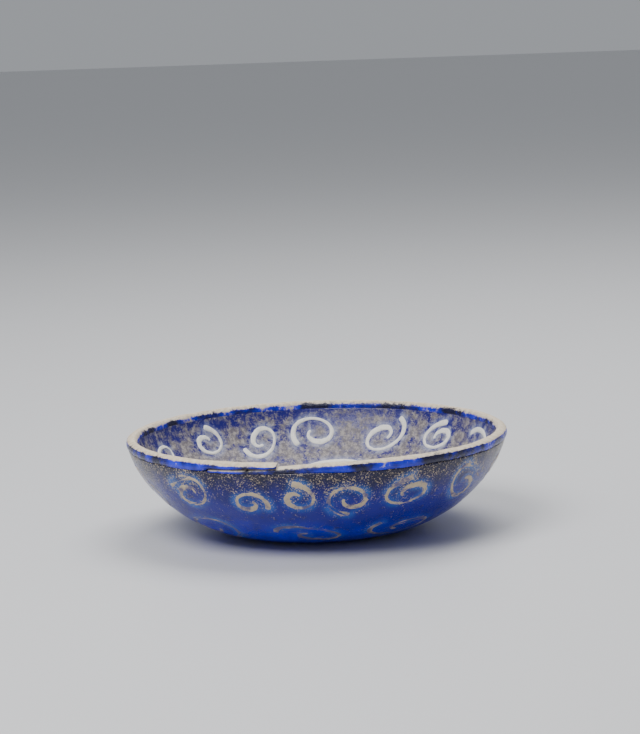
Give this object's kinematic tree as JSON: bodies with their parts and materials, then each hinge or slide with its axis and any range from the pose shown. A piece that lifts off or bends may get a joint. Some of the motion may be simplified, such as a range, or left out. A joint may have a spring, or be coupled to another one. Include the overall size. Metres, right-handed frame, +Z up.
{
  "type": "mosaic glass bowl",
  "caption": "Shallow round bowl fused from slices of a blue glass cane with white spirals, closed at the edge by a blue coil.",
  "frame": {"origin": "centre of the underside, on the plane that the bowl stands on", "axes": "+Z up along the bowl's axis, the pictured side faces -Y, +X to the right in the picture"},
  "size_m": [0.1316, 0.1312, 0.0339],
  "materials": {
    "blue_glass": "translucent cobalt blue, worn and lightly pitted",
    "white_glass": "opaque white, weathered to beige and brown",
    "rim_glass": "cobalt blue under a beige weathering film"
  },
  "bodies": {
    "root": {"base_slice_01": "blue_glass", "base_slice_02": "blue_glass", "base_slice_03": "blue_glass", "base_slice_04": "blue_glass", "base_slice_05": "blue_glass", "base_spiral_01": "white_glass", "base_spiral_02": "white_glass", "base_spiral_03": "white_glass", "base_spiral_04": "white_glass", "base_spiral_05": "white_glass", "centre_slice_01": "blue_glass", "centre_spiral_01": "white_glass", "middle_slice_01": "blue_glass", "middle_slice_02": "blue_glass", "middle_slice_03": "blue_glass", "middle_slice_04": "blue_glass", "middle_slice_05": "blue_glass", "middle_slice_06": "blue_glass", "middle_slice_07": "blue_glass", "middle_slice_08": "blue_glass", "middle_spiral_01": "white_glass", "middle_spiral_02": "white_glass", "middle_spiral_03": "white_glass", "middle_spiral_04": "white_glass", "middle_spiral_05": "white_glass", "middle_spiral_06": "white_glass", "middle_spiral_07": "white_glass", "middle_spiral_08": "white_glass", "rim_coil": "rim_glass", "upper_slice_01": "blue_glass", "upper_slice_02": "blue_glass", "upper_slice_03": "blue_glass", "upper_slice_04": "blue_glass", "upper_slice_05": "blue_glass", "upper_slice_06": "blue_glass", "upper_slice_07": "blue_glass", "upper_slice_08": "blue_glass", "upper_slice_09": "blue_glass", "upper_slice_10": "blue_glass", "upper_slice_11": "blue_glass", "upper_slice_12": "blue_glass", "upper_slice_13": "blue_glass", "upper_slice_14": "blue_glass", "upper_slice_15": "blue_glass", "upper_spiral_01": "white_glass", "upper_spiral_02": "white_glass", "upper_spiral_03": "white_glass", "upper_spiral_04": "white_glass", "upper_spiral_05": "white_glass", "upper_spiral_06": "white_glass", "upper_spiral_07": "white_glass", "upper_spiral_08": "white_glass", "upper_spiral_09": "white_glass", "upper_spiral_10": "white_glass", "upper_spiral_11": "white_glass", "upper_spiral_12": "white_glass", "upper_spiral_13": "white_glass", "upper_spiral_14": "white_glass", "upper_spiral_15": "white_glass"}
  },
  "joints": []
}
